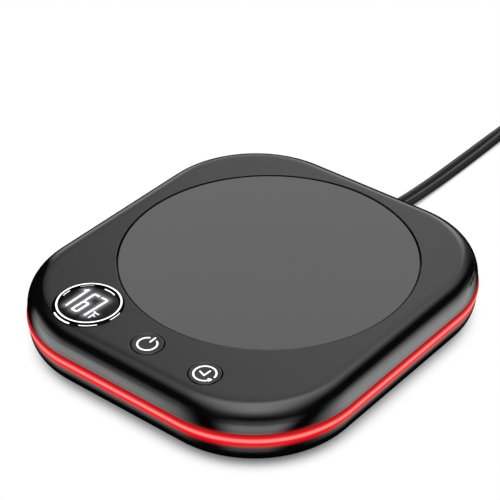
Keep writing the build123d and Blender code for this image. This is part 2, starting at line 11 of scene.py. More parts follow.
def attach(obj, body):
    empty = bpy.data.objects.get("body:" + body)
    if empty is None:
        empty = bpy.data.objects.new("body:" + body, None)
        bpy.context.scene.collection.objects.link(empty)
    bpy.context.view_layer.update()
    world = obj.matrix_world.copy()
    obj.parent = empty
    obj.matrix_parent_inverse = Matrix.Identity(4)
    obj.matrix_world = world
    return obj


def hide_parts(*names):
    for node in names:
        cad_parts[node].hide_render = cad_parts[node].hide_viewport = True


# Looks of an electric mug warmer: its case, glass plate, display, buttons, light band, lead and plug.
# +Z up, buttons towards -Y, lead towards +Y. Sizes are written in millimetres, and MM turns them into metres.

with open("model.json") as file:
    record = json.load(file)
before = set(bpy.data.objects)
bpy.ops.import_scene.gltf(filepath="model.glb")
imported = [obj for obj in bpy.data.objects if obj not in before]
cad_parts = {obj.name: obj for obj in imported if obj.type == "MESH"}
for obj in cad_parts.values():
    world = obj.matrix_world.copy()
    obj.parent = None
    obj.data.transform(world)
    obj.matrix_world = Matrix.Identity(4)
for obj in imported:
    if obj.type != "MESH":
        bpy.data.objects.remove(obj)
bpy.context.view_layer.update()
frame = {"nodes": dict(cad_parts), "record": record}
MM = 0.001

# Main sizes, as in the construction but for three: the curve under the base is slightly flatter
# (BASE_POWER, 0.8 there), and the gaps round the plate (POCKET_R, 49.3 there) and round the caps
# (BUTTON_GAP, 0.3 there) are closer.
HALF_X, HALF_Y, CORNER_R = 60.0, 65.5, 36.7
DECK_Z, BASE_Z = 21.6, 1.2
BAND_LOW_Z, BAND_HIGH_Z, BAND_CROWN = 10.2, 13.4, 0.4
WALL = 2.0
DECK_ROLL, BASE_ROLL = 7.6, 6.6
DECK_POWER, BASE_POWER = 0.8, 0.88
PLATE_Y, PLATE_R, PLATE_TOP, PLATE_THICK = 7.1, 48.85, 21.3, 3.0
POCKET_R, LEDGE_R, LEDGE_TOP, LEDGE_LOW, CUP_R = 49.15, 45.5, 17.8, 16.2, 50.7
DISPLAY_X, DISPLAY_Y, DISPLAY_R, DISPLAY_TOP = -27.5, -48.0, 10.75, 22.3
LENS_R, LENS_TOP = 9.2, 21.55
BUTTON_Y, BUTTON_R, BUTTON_GAP, BUTTON_TOP = -51.75, 5.1, 0.2, 21.75
BUTTON_XS = {"power": 0.2, "timer": 23.0}
FOOT_X, FOOT_Y, FOOT_R = 44.0, 40.0, 5.0
CORNERS = [(1, 1), (-1, 1), (-1, -1), (1, -1)]  # signs of x and y, anticlockwise
UNDER_Z = DECK_Z - WALL - 0.9  # lowest edge of the display rim and of the caps
SEAM_UP, SEAM_DOWN = 0.5, 0.9  # height of the small edge of each shell at the band
PLATE_LIP, DISPLAY_LIP, BUTTON_LIP = 0.18, 0.1, 0.22  # rounding of the edges of the holes in the deck
PLATE_EDGE, CAP_EDGE, FOOT_EDGE = 0.3, 0.28, 0.35  # rounding of the edges of these pieces
VENTS, VENT_PITCH, VENT_Y, VENT_WIDE, VENT_LONG = 5, 8.0, 22.0, 2.2, 26.0

# Camera
AZIMUTH, ELEVATION, ROLL = radians(39.96), radians(34.62), radians(-0.83)
TARGET = Vector((-32.66, 29.97, 0.0)) * MM
DISTANCE = 625.5 * MM
LENS_MM, SENSOR_MM = 129.73, 36.0
SHIFT_X, SHIFT_Y = 0.0275, -0.0117

# Lead: points of its route, the coil and the plug. The route ends about 0.5 mm higher than in the
# construction, so that the lead stays above the floor while it tips onto its edge.
CORD_WIDE, CORD_THICK = 5.7, 2.85
CORD_ROUTE = [(0, 75.73, 3.97), (0, 89.98, 1.455), (0, 149.0, 1.455), (0, 158.0, 2.9), (0.4, 171.0, 2.9)]
LIFT_Y = 119.5  # the lead lies flat up to here
COIL_X, COIL_Y, COIL_TURN_R, COIL_STEP, COIL_TURNS = 35.8, 171.0, 35.8, 2.95, 3
PLUG_X, PLUG_Y, PLUG_Z = 87.5, 166.0, 7.0
PLUG_ROUTE = [(56.0, 203.6, 5.4), (73.0, 196.6, 2.2), (84.0, 182.5, 3.6), (PLUG_X, PLUG_Y, PLUG_Z)]
RELIEF_START, RELIEF_TILT, RELIEF_TIP = (0.0, 58.0, 7.1), radians(10), 18.0


# ---------------------------------------------------------------- camera


def look():
    """The camera, at its viewing angle and with its small shift."""
    back = Vector((sin(AZIMUTH) * cos(ELEVATION), -cos(AZIMUTH) * cos(ELEVATION), sin(ELEVATION)))
    right = (-back).cross(Vector((0, 0, 1))).normalized()
    up = right.cross(-back)
    straight, tilt = cos(ROLL), sin(ROLL)
    side, top = right * straight + up * tilt, up * straight - right * tilt
    data = bpy.data.cameras.new("camera")
    camera = bpy.data.objects.new("camera", data)
    bpy.context.scene.collection.objects.link(camera)
    turned_to = Matrix((side, top, back)).transposed().to_4x4()
    camera.matrix_world = Matrix.Translation(TARGET + back * DISTANCE) @ turned_to
    data.lens, data.sensor_width = LENS_MM, SENSOR_MM
    data.shift_x, data.shift_y = SHIFT_X, SHIFT_Y
    data.clip_start, data.clip_end = 0.01, 20
    bpy.context.scene.camera = camera


look()


# ---------------------------------------------------------------- shader expressions


class Sock:
    """A socket whose value can be used in plain arithmetic: each operation adds its Math node."""

    def __init__(self, paint, socket):
        self.paint, self.socket = paint, socket

    def math(self, operation, *others):
        return self.paint.node("Math", dict(enumerate([self, *others])), operation=operation)

    def __add__(self, other):
        return self.math("ADD", other)

    def __radd__(self, other):
        return self.math("ADD", other)

    def __sub__(self, other):
        return self.math("SUBTRACT", other)

    def __rsub__(self, other):
        return self.paint.node("Math", {0: other, 1: self}, operation="SUBTRACT")

    def __mul__(self, other):
        return self.math("MULTIPLY", other)

    def __rmul__(self, other):
        return self.math("MULTIPLY", other)

    def __pow__(self, power):
        return self.math("POWER", power)

    def __abs__(self):
        return self.math("ABSOLUTE")

    def above(self, low, high):
        """0 at low and past it, 1 at high and past it, smooth between; low may be the larger of the two."""
        if low > high:
            return 1 - self.above(high, low)
        inputs = {"Value": self, "From Min": low, "From Max": high}
        return self.paint.node("MapRange", inputs, interpolation_type="SMOOTHSTEP")


class Paint:
    """The node tree of one material or of the world."""

    def __init__(self, tree):
        self.tree = tree
        self.tree.nodes.clear()

    def node(self, kind, inputs=None, out=0, **settings):
        """A node of a type: its settings first, then the values or links of its sockets."""
        made = self.tree.nodes.new("ShaderNode" + kind)
        for name, value in settings.items():
            setattr(made, name, value)
        for name, value in (inputs or {}).items():
            if isinstance(value, Sock):
                self.tree.links.new(value.socket, made.inputs[name])
            else:
                made.inputs[name].default_value = value
        return Sock(self, made.outputs[out])

    def place(self):
        """Position on the object, in millimetres."""
        where = self.node("TexCoord", out="Object")
        return self.node("VectorMath", {0: where, 1: (1000, 1000, 1000)}, operation="MULTIPLY")

    def split(self, vector):
        """The x, y and z of a vector."""
        return [self.node("SeparateXYZ", {0: vector}, out=i) for i in range(3)]

    def noise(self, where, scale, detail=2.0, roughness=0.5, stretch=(1, 1, 1)):
        """Soft noise from 0 to 1, scale per millimetre."""
        scales = tuple(scale * s for s in stretch)
        spread = self.node("VectorMath", {0: where, 1: scales}, operation="MULTIPLY")
        inputs = {"Vector": spread, "Scale": 1.0, "Detail": detail, "Roughness": roughness}
        return self.node("TexNoise", inputs)

    def mix(self, factor, first, second):
        """Blend of two colours."""
        ends = [(*c, 1) if isinstance(c, tuple) else c for c in (first, second)]
        inputs = {0: factor, 6: ends[0], 7: ends[1]}
        return self.node("Mix", inputs, out=2, data_type="RGBA")

    def bump(self, height, depth_mm):
        return self.node("Bump", {"Height": height, "Distance": depth_mm * MM, "Strength": 1.0})


def shade(colour, factor):
    """A colour made darker or lighter by a factor."""
    return tuple(min(1, c * factor) for c in colour)


def finish_named(name, base, recipe, constants):
    """A material: constants set on the shader itself, then what its recipe varies over the surface."""
    material = bpy.data.materials.new(name)
    material.use_nodes = True
    paint = Paint(material.node_tree)
    shader = material.node_tree.nodes.new("ShaderNodeBsdfPrincipled")
    shader.inputs["Base Color"].default_value = (*base, 1)
    for key, value in constants.items():
        shader.inputs[key].default_value = value
    for key, value in recipe(paint, base).items():
        paint.tree.links.new(value.socket, shader.inputs[key])
    out = material.node_tree.nodes.new("ShaderNodeOutputMaterial")
    paint.tree.links.new(shader.outputs[0], out.inputs[0])
    return material


def moulded(tone=0.2, rough=(0.3, 0.5), grain=0.004, scale=6.0):
    """Recipe for moulded plastic and rubber: faint cloudiness, uneven gloss and a fine grain."""

    def recipe(paint, base):
        where = paint.place()
        cloud = paint.noise(where, 0.08, 3)
        fine = paint.noise(where, scale, 3, 0.6)
        return {
            "Base Color": paint.mix(cloud, shade(base, 1 - tone), shade(base, 1 + tone)),
            "Roughness": rough[0] + (rough[1] - rough[0]) * (0.6 * cloud + 0.4 * fine),
            "Normal": paint.bump(fine, grain),
        }

    return recipe


def rolled(stretch=(0.3, 6, 6), rough=(0.25, 0.45)):
    """Recipe for rolled or drawn metal: fine streaks along one direction."""

    def recipe(paint, base):
        where = paint.place()
        streak = paint.noise(where, 1.0, 3, 0.6, stretch)
        cloud = paint.noise(where, 0.15, 2)
        return {
            "Base Color": paint.mix(cloud, shade(base, 0.85), base),
            "Roughness": rough[0] + (rough[1] - rough[0]) * streak,
            "Normal": paint.bump(streak, 0.004),
        }

    return recipe


def level(paint):
    """1 on level faces that look up, 0 where a face turns over an edge and on all others."""
    _, _, up = paint.split(paint.node("NewGeometry", out="Normal"))
    return up.above(0.975, 0.998)


def painted_band_glow(paint, height, edge, end, red, power):
    """Painted red light: the band's spill on the shell next to it, laid on as a glow of the shell, gone at
    the end height.
    """
    return paint.mix(height.above(end, edge) ** power, (0, 0, 0), (red, red * 0.01, red * 0.016))


def case_black(paint, base):
    """Satin deck whose rolled edges are polished, duller beside the lit band, with the band's red light
    painted on as a glow next to it.
    """
    where = paint.place()
    _, _, height = paint.split(where)
    flat = level(paint)
    cloud = paint.noise(where, 0.05, 3)
    fine = paint.noise(where, 9.0, 2, 0.5)
    satin = 0.33 + 0.06 * cloud + 0.03 * fine
    polished = 0.07 + 0.03 * cloud
    return {
        "Base Color": paint.mix(cloud, shade(base, 0.8), shade(base, 1.2)),
        "Roughness": polished + flat * (satin - polished),
        "Coat Weight": (1 - flat) * height.above(13.5, 16.2),
        "Normal": paint.bump(fine * flat, 0.0012),
        # painted red glow: the band's light on the shoulder above it, as emission of the shell
        "Emission Color": painted_band_glow(paint, height, BAND_HIGH_Z, 15.2, 0.3, 3),
    }


def base_gloss(paint, base):
    """Plain gloss of the lower case, with the band's red spill painted on as a glow."""
    where = paint.place()
    _, _, height = paint.split(where)
    looks = moulded(0.2, (0.16, 0.24), 0.0005)(paint, base)
    # painted red glow: the band's light on the lower case below it, as emission of the shell
    return {**looks, "Emission Color": painted_band_glow(paint, height, BAND_LOW_Z, 8.0, 0.78, 1)}


def plate_glass(paint, base):
    """Polished dark glass with a trace of wiping marks."""
    where = paint.place()
    wipe = paint.noise(where, 0.12, 3, 0.5, (1, 3, 1))
    return {"Roughness": 0.012 + 0.02 * wipe, "Base Color": paint.mix(wipe, base, shade(base, 1.3))}


def lit_band(paint, base):
    """Red light, palest along the middle of the band and darker towards its upper edge."""
    where = paint.place()
    _, _, height = paint.split(where)
    core = abs(height - 11.6).above(1.05, 0.1)
    rim = height.above(12.2, 13.5)
    uneven = paint.noise(where, 0.03, 2)
    red = paint.mix(rim, (0.93, 0.010, 0.014), (0.30, 0.008, 0.010))
    return {
        "Emission Color": paint.mix(core * (0.85 + 0.15 * uneven), red, (1.0, 0.28, 0.27)),
        "Roughness": 0.4 + 0.1 * uneven,
    }


def lens_black(paint, base):
    """Smoked window with the glow of the numerals in it."""
    glow = paint.node("Attribute", attribute_name="glow", out="Fac")
    where = paint.place()
    cloud = paint.noise(where, 0.4, 2)
    return {
        "Emission Color": paint.mix(glow, (0.0, 0.0, 0.0), (0.60, 0.60, 0.62)),
        "Roughness": 0.03 + 0.02 * cloud,
    }


def lit_white(strength):
    """White glow, very slightly uneven: the light guide, the numerals and the signs, and also the painted
    highlights on the display rim.
    """

    def recipe(paint, base):
        where = paint.place()
        uneven = paint.noise(where, 0.5, 2)
        low, high = 0.88 * strength, strength
        return {"Emission Color": paint.mix(uneven, (low, low, low), (high, high, high))}

    return recipe


def cord_skin(paint, base):
    """Soft vinyl: satin, with faint scuffs."""
    where = paint.place()
    scuff = paint.noise(where, 0.5, 4, 0.6)
    fine = paint.noise(where, 8.0, 2)
    return {
        "Base Color": paint.mix(scuff, shade(base, 0.8), shade(base, 1.25)),
        "Roughness": 0.28 + 0.14 * scuff,
        "Normal": paint.bump(fine, 0.004),
    }


def felted(paint, base):
    """Felted fibre sheet."""
    where = paint.place()
    fibres = paint.noise(where, 2.5, 5, 0.7, (1, 0.3, 1))
    return {
        "Base Color": paint.mix(fibres, shade(base, 0.75), base),
        "Roughness": 0.9 + 0.1 * fibres,
        "Normal": paint.bump(fibres, 0.15),
    }


def board_mask(paint, base):
    """Solder mask with faint lighter tracks under it."""
    where = paint.place()
    x, y, _ = paint.split(where)
    along = abs((x * 0.45).math("FRACT") - 0.5).above(0.06, 0.02)
    across = abs((y * 0.4).math("FRACT") - 0.5).above(0.06, 0.02)
    tracks = along * paint.noise(where, 0.2, 1).above(0.45, 0.55)
    tracks = tracks + across * paint.noise(where, 0.15, 1).above(0.5, 0.6)
    return {
        "Base Color": paint.mix(tracks.math("MINIMUM", 1.0), base, shade(base, 2.2)),
        "Roughness": 0.35 + 0.1 * paint.noise(where, 1.0, 2),
    }


LIT = {"Emission Strength": 1.0}
LIT_WHITE = {"Roughness": 0.3, **LIT}
METAL = {"Metallic": 1.0}
LOOKS = {
    "shell_black": ((0.003, 0.0028, 0.003), case_black,
                    {"IOR": 1.85, "Coat Roughness": 0.07, "Coat IOR": 1.85, **LIT}),
    "base_black": ((0.003, 0.003, 0.003), base_gloss, {"IOR": 1.55, **LIT}),
    "band_red": ((0.08, 0.001, 0.001), lit_band, {"Specular IOR Level": 0.1, **LIT}),
    "plate_glass": ((0.012, 0.012, 0.013), plate_glass, {"IOR": 1.85}),
    "display_black": ((0.002, 0.002, 0.002), lens_black, {"Specular IOR Level": 0.12, **LIT}),
    "bezel_black": ((0.002, 0.002, 0.002), moulded(0.2, (0.1, 0.2), 0.0005), {"Specular IOR Level": 0.15}),
    "display_white": ((0.8, 0.8, 0.8), lit_white(1.0), LIT_WHITE),
    # dim grey glow that paints a highlight on the back of the display rim
    "painted_highlight_grey": ((0.4, 0.4, 0.4), lit_white(0.35), LIT_WHITE),
    "sign_white": ((0.8, 0.8, 0.8), lit_white(0.8), LIT_WHITE),
    "rubber_black": ((0.02, 0.02, 0.02), moulded(0.3, (0.7, 0.9), 0.03, 4), {}),
    "cord_black": ((0.03, 0.03, 0.031), cord_skin, {"IOR": 1.6}),
    "plug_black": ((0.02, 0.02, 0.021), moulded(0.25, (0.4, 0.6), 0.02, 3), {}),
    "blade_brass": ((0.72, 0.68, 0.58), rolled((6, 0.3, 6), (0.18, 0.35)), METAL),
    "seal_grey": ((0.35, 0.35, 0.34), moulded(0.1, (0.6, 0.8), 0.01), {}),
    "aluminium": ((0.72, 0.72, 0.73), rolled(), METAL),
    "steel": ((0.5, 0.5, 0.51), rolled((4, 4, 0.5), (0.2, 0.4)), METAL),
    "mica": ((0.62, 0.55, 0.42), moulded(0.35, (0.3, 0.5), 0.01, 2), {}),
    "insulation_white": ((0.82, 0.81, 0.78), felted, {}),
    "board_green": ((0.03, 0.16, 0.07), board_mask, {}),
    "chip_black": ((0.03, 0.03, 0.03), moulded(0.2, (0.4, 0.6), 0.008), {}),
    "part_white": ((0.8, 0.8, 0.78), moulded(0.06, (0.35, 0.5), 0.006), {}),
    "part_yellow": ((0.7, 0.55, 0.12), moulded(0.1, (0.3, 0.45), 0.006), {}),
    "wire_grey": ((0.45, 0.45, 0.45), moulded(0.1, (0.45, 0.6), 0.005), {}),
    "led_white": ((0.9, 0.9, 0.85), moulded(0.05, (0.2, 0.35), 0.002), {}),
}
FINISHES = {name: finish_named(name, *look_of) for name, look_of in LOOKS.items()}


def dress_nodes():
    """Every node keeps its solid and gets its slot's finish."""
    for part in frame["record"]["subparts"]:
        node = frame["nodes"][part["node"]]
        node.data.materials.clear()
        node.data.materials.append(FINISHES[part["material_slot"]])


dress_nodes()


# ---------------------------------------------------------------- skins made of loops


def outline(inset, z, corner_steps=28, side_steps=6):
    """The case outline drawn in by inset, anticlockwise, always with the same number of points."""
    radius = CORNER_R - inset
    points = []
    for i, (sx, sy) in enumerate(CORNERS):
        middle = Vector((sx * (HALF_X - CORNER_R), sy * (HALF_Y - CORNER_R), z))
        for step in range(corner_steps + 1):
            turn = pi / 2 * (i + step / corner_steps)
            points.append(middle + radius * Vector((cos(turn), sin(turn), 0)))
        nx, ny = CORNERS[(i + 1) % 4]
        following = Vector((nx * (HALF_X - CORNER_R), ny * (HALF_Y - CORNER_R), z))
        turn = pi / 2 * (i + 1)
        arrive = following + radius * Vector((cos(turn), sin(turn), 0))
        leave = points[-1]
        points += [leave.lerp(arrive, s / side_steps) for s in range(1, side_steps)]
    return points


def circle(radius, z, x=0.0, y=0.0, count=96):
    """A level circle of points."""
    turns = [2 * pi * i / count for i in range(count)]
    return [Vector((x + radius * cos(t), y + radius * sin(t), z)) for t in turns]


class Skin:
    """A closed surface put together from loops of points, in millimetres."""

    def __init__(self):
        self.points, self.faces = [], []

    def loop(self, points):
        start = len(self.points)
        self.points += [Vector(p) for p in points]
        return list(range(start, start + len(points)))

    def bridge(self, first, second):
        """A band of quads between two loops of the same length."""
        n = len(first)
        self.faces += [(first[i], first[(i + 1) % n], second[(i + 1) % n], second[i]) for i in range(n)]

    def rows(self, loops):
        """Bands along a list of point loops; gives the first and the last loop's numbers."""
        made = [self.loop(points) for points in loops]
        for first, second in zip(made, made[1:]):
            self.bridge(first, second)
        return made[0], made[-1]

    def cap(self, outer, holes=()):
        """A flat face inside a loop, round any holes."""
        rings = [outer, *holes]
        numbers = [i for ring in rings for i in ring]
        flats = [[self.points[i] for i in ring] for ring in rings]
        self.faces += [tuple(numbers[i] for i in face) for face in tessellate_polygon(flats)]

    def piece(self, name, slot, body="housing", finish=None, sharp=28):
        """The finished object: smooth, with sharp edges kept, in metres."""
        mesh = bpy.data.meshes.new(name)
        mesh.from_pydata([p * MM for p in self.points], [], self.faces)
        work = bmesh.new()
        work.from_mesh(mesh)
        bmesh.ops.remove_doubles(work, verts=work.verts, dist=1e-7)
        bmesh.ops.recalc_face_normals(work, faces=work.faces)
        work.to_mesh(mesh)
        work.free()
        for face in mesh.polygons:
            face.use_smooth = True
        mesh.set_sharp_from_angle(angle=radians(sharp))
        made = bpy.data.objects.new(name, mesh)
        bpy.context.scene.collection.objects.link(made)
        mesh.materials.append(FINISHES[finish or slot])
        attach(made, body)
        return made


def roll_rows(side_inset, z_side, flat_inset, z_flat, power, steps=22):
    """Loops along a shoulder, from the upright side to the level deck or floor."""
    rows = []
    for i in range(steps + 1):
        turn = pi / 2 * i / steps
        inset = flat_inset + (side_inset - flat_inset) * cos(turn) ** power
        rows.append(outline(inset, z_side + (z_flat - z_side) * sin(turn) ** power))
    return rows


def seam_rows(side_inset, z_seam, rise, steps=5):
    """Loops round the small edge at a seam, from the seam to the upright side."""
    size = abs(rise) * 0.8
    turns = [pi / 2 * i / steps for i in range(steps + 1)]
    return [outline(side_inset + size * (1 - sin(t)), z_seam + rise * (1 - cos(t))) for t in turns]


def lipped_hole(radius, lip, top, low, x, y, count=96, steps=5):
    """Loops down a hole: a flat margin, a rounded lip and the wall."""
    rows = [circle(radius + lip + 0.12, top, x, y, count)]
    for i in range(steps + 1):
        turn = pi / 2 * i / steps
        rows.append(circle(radius + lip - lip * sin(turn), top - lip + lip * cos(turn), x, y, count))
    return rows + [circle(radius, low, x, y, count)]


def top_shell():
    """Deck, rolled shoulder and inner walls of the upper case, with its plate pocket and holes."""
    skin = Skin()
    side, flat = BAND_CROWN, BAND_CROWN + DECK_ROLL
    inner = side + WALL
    deck_low = DECK_Z - WALL
    outer_rows = seam_rows(side, BAND_HIGH_Z, SEAM_UP)
    outer_rows += roll_rows(side, BAND_HIGH_Z + SEAM_UP + 0.05, flat, DECK_Z, DECK_POWER)[1:]
    outer_rows += [outline(flat + 0.15, DECK_Z)]
    inner_rows = [outline(inner, BAND_HIGH_Z), outline(inner, deck_low - 3.0), outline(inner + 2.8, deck_low)]
    seat_low, deck_edge = skin.rows(outer_rows)
    inner_seat, under_edge = skin.rows(inner_rows)
    skin.bridge(seat_low, inner_seat)
    pocket = lipped_hole(POCKET_R, PLATE_LIP, DECK_Z, LEDGE_TOP, 0, PLATE_Y, 256)
    ledge = ((LEDGE_R, LEDGE_TOP), (LEDGE_R, LEDGE_LOW), (CUP_R, LEDGE_LOW), (CUP_R, deck_low))
    pocket += [circle(r, z, 0, PLATE_Y, 256) for r, z in ledge]
    shafts = [lipped_hole(DISPLAY_R + 0.05, DISPLAY_LIP, DECK_Z, deck_low, DISPLAY_X, DISPLAY_Y, 128)]
    for x in BUTTON_XS.values():
        shafts.append(lipped_hole(BUTTON_R + BUTTON_GAP, BUTTON_LIP, DECK_Z, deck_low, x, BUTTON_Y, 96))
    ends = [skin.rows(rows) for rows in [pocket, *shafts]]
    skin.cap(deck_edge, [first for first, _ in ends])
    skin.cap(under_edge, [last for _, last in ends])
    piece = skin.piece("top_shell", "shell_black")
    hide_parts("top_housing")


def slot_loop(x, y, wide, long, z, steps=8):
    """A vent slot with round ends, along Y."""
    radius, reach = wide / 2, (long - wide) / 2
    turns = [pi * i / steps for i in range(steps + 1)]
    upper = [Vector((x + radius * cos(t), y + reach + radius * sin(t), z)) for t in turns]
    lower = [Vector((2 * x - p.x, 2 * y - p.y, z)) for p in upper]
    return upper + lower


def base_shell():
    """Tucked-in lower case with its floor, vent slots and the deep wells of its screws."""
    skin = Skin()
    side, flat = BAND_CROWN, BAND_CROWN + BASE_ROLL
    inner = side + WALL
    floor = BASE_Z + WALL
    outer_rows = seam_rows(side, BAND_LOW_Z, -SEAM_DOWN)
    outer_rows += roll_rows(side, BAND_LOW_Z - SEAM_DOWN - 0.05, flat, BASE_Z, BASE_POWER)[1:]
    outer_rows += [outline(flat + 0.15, BASE_Z)]
    inner_rows = [outline(inner, BAND_LOW_Z), outline(inner, floor + 2.8), outline(inner + 2.4, floor)]
    seat, bottom = skin.rows(outer_rows)
    inner_seat, floor_edge = skin.rows(inner_rows)
    skin.bridge(seat, inner_seat)
    holes = []
    for i in range(VENTS):
        x = VENT_PITCH * (i - VENTS // 2)
        holes.append([slot_loop(x, VENT_Y, VENT_WIDE, VENT_LONG, z) for z in (BASE_Z, floor)])
    well = [(2.8, BASE_Z), (2.8, 4.8), (1.5, 4.8), (1.5, 9.0), (4.0, 9.0), (4.0, floor)]
    wells = [(sx * FOOT_X, sy * FOOT_Y) for sx in (-1, 1) for sy in (-1, 1)]
    for x, y in wells:
        holes.append([circle(r, z, x, y, 32) for r, z in well])
    ends = [skin.rows(rows) for rows in holes]
    skin.cap(bottom, [first for first, _ in ends])
    skin.cap(floor_edge, [last for _, last in ends])
    piece = skin.piece("base_shell", "shell_black", finish="base_black")
    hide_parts("base_cover")


def light_strip():
    """The lit band, crowned between the two shells."""
    skin = Skin()
    half = (BAND_HIGH_Z - BAND_LOW_Z) / 2
    rows = []
    for i in range(11):
        turn = pi * (i / 10 - 0.5)
        rows.append(outline(BAND_CROWN * (1 - cos(turn)), BAND_LOW_Z + half + half * sin(turn) * 0.995))
    rows += [outline(BAND_CROWN + WALL + 0.6, z) for z in (BAND_HIGH_Z, BAND_LOW_Z)]
    first, last = skin.rows(rows)
    skin.bridge(last, first)
    piece = skin.piece("light_strip", "band_red", sharp=50)
    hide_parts("light_band")


def turned(name, slot, profile, x=0.0, y=0.0, body="housing", finish=None, count=128, solid=True, sharp=28):
    """A round piece from a profile of (radius, height) rows; a solid one is closed flat at both ends."""
    skin = Skin()
    first, last = skin.rows([circle(r, z, x, y, count) for r, z in profile])
    if solid:
        skin.cap(first)
        skin.cap(last)
    else:
        skin.bridge(last, first)
    return skin.piece(name, slot, body, finish, sharp)


def rounded_edge(radius, top, size, steps=6):
    """Rows over a rounded top edge, from the wall to the flat."""
    turns = [pi / 2 * i / steps for i in range(steps + 1)]
    rows = [(radius - size + size * cos(t), top - size + size * sin(t)) for t in turns]
    return rows + [(radius - size - 0.12, top)]


def glass_plate():
    """The warming plate, with its upper edge rounded."""
    profile = [(PLATE_R, PLATE_TOP - PLATE_THICK)] + rounded_edge(PLATE_R, PLATE_TOP, PLATE_EDGE)
    piece = turned("glass_plate", "plate_glass", profile, 0, PLATE_Y, count=256)
    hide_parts("warming_plate")


# ---------------------------------------------------------------- display and buttons

# Numerals as strokes (x, y, x, y) from the middle of the text, read along +X
NUMERAL_STROKES = [
    (-4.5, -5.6, -4.5, -0.9), (-4.5, -0.3, -4.5, 4.4), (-5.3, 3.7, -4.5, 4.4),
    (-1.8, -5.7, -1.6, -1.1), (-1.6, -0.4, -1.5, 3.7), (-1.3, 4.1, 0.4, 4.1), (-1.3, -0.8, 0.2, -0.8),
    (0.3, -5.6, 0.5, -1.1), (-1.5, -6.0, 0.0, -6.0),
    (1.7, 4.1, 3.7, 4.1), (3.8, 0.2, 4.0, 3.8), (3.5, -5.7, 3.8, -0.4),
]
UNIT_STROKES = [(5.4, -6.0, 5.4, -3.0), (5.4, -3.0, 6.7, -3.0), (5.4, -4.4, 6.4, -4.4)]
STROKE_WIDE, UNIT_WIDE = 0.6, 0.33
TEXT_X, TEXT_Y = DISPLAY_X - 0.8, DISPLAY_Y + 0.95
TEXT_LOW, TEXT_HIGH = LENS_TOP - 0.05, LENS_TOP + 0.04


def ribbon(skin, path, width, low, high, steps=5):
    """A flat stroke with round ends along a path of (x, y) points."""
    points = [Vector((*p, 0)) for p in path]
    half = width / 2
    left, right = [], []
    for i, point in enumerate(points):
        before = (point - points[i - 1]).normalized() if i else (points[1] - point).normalized()
        after = (points[i + 1] - point).normalized() if i + 1 < len(points) else before
        along = (before + after).normalized()
        across = Vector((-along.y, along.x, 0)) * half / max(0.5, along.dot(after))
        left.append(point + across)
        right.append(point - across)
    ends = []
    for point, start in ((points[-1], right[-1]), (points[0], left[0])):
        arm = start - point
        ends.append([point + Matrix.Rotation(pi * i / steps, 3, "Z") @ arm for i in range(1, steps)])
    ring = right + ends[0] + left[::-1] + ends[1]
    base, top = skin.rows([[Vector((p.x, p.y, z)) for p in ring] for z in (low, high)])
    skin.cap(base)
    skin.cap(top)


def arc(radius, start, end, step=6.0):
    """Points on a circle about the origin, angles in degrees."""
    count = max(2, round(abs(end - start) / step))
    turns = [radians(start + (end - start) * i / count) for i in range(count + 1)]
    return [(radius * cos(t), radius * sin(t)) for t in turns]


def moved(path, x, y):
    """A path of (x, y) points, moved."""
    return [(px + x, py + y) for px, py in path]


def numerals():
    """The lit numerals, the unit and its small ring."""
    skin = Skin()
    for strokes, width in ((NUMERAL_STROKES, STROKE_WIDE), (UNIT_STROKES, UNIT_WIDE)):
        for x0, y0, x1, y1 in strokes:
            ribbon(skin, moved([(x0, y0), (x1, y1)], TEXT_X, TEXT_Y), width, TEXT_LOW, TEXT_HIGH)
    ribbon(skin, moved(arc(0.26, 0, 350, 30), TEXT_X + 4.9, TEXT_Y - 2.8), 0.16, TEXT_LOW, TEXT_HIGH)
    skin.piece("numerals", "display_white")


def stroke_distance(x, y, stroke):
    """Distance of a point from the middle line of a stroke."""
    x0, y0, x1, y1 = stroke
    along = ((x - x0) * (x1 - x0) + (y - y0) * (y1 - y0)) / ((x1 - x0) ** 2 + (y1 - y0) ** 2)
    t = min(1, max(0, along))
    return math.hypot(x - x0 - t * (x1 - x0), y - y0 - t * (y1 - y0))


def display_window():
    """The smoked lens, finely divided so that the glow round the numerals can be stored in it."""
    skin = Skin()
    rings = [LENS_R * i / 46 for i in range(1, 47)]
    loops = [skin.loop(circle(r, LENS_TOP, DISPLAY_X, DISPLAY_Y, 128)) for r in rings]
    skin.cap(loops[0])
    for first, second in zip(loops, loops[1:]):
        skin.bridge(first, second)
    low = skin.loop(circle(LENS_R, DECK_Z - 1.2, DISPLAY_X, DISPLAY_Y, 128))
    skin.bridge(loops[-1], low)
    skin.cap(low)
    piece = skin.piece("display_window", "display_black")
    glow = piece.data.attributes.new("glow", "FLOAT", "POINT")
    for vertex, value in zip(piece.data.vertices, glow.data):
        x, y = vertex.co.x / MM - TEXT_X, vertex.co.y / MM - TEXT_Y
        near = min(stroke_distance(x, y, s) for s in NUMERAL_STROKES)
        near_unit = min(stroke_distance(x, y, s) for s in UNIT_STROKES)
        value.value = 0.75 * math.exp(-((near / 0.95) ** 1.3)) + 0.35 * math.exp(-((near_unit / 0.5) ** 1.4))
    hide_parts("display_lens")


FLARE_R, FLARE_SHIFT = 11.4, (0.1, -0.5)  # foot of the rim, and how far it is moved in x and y


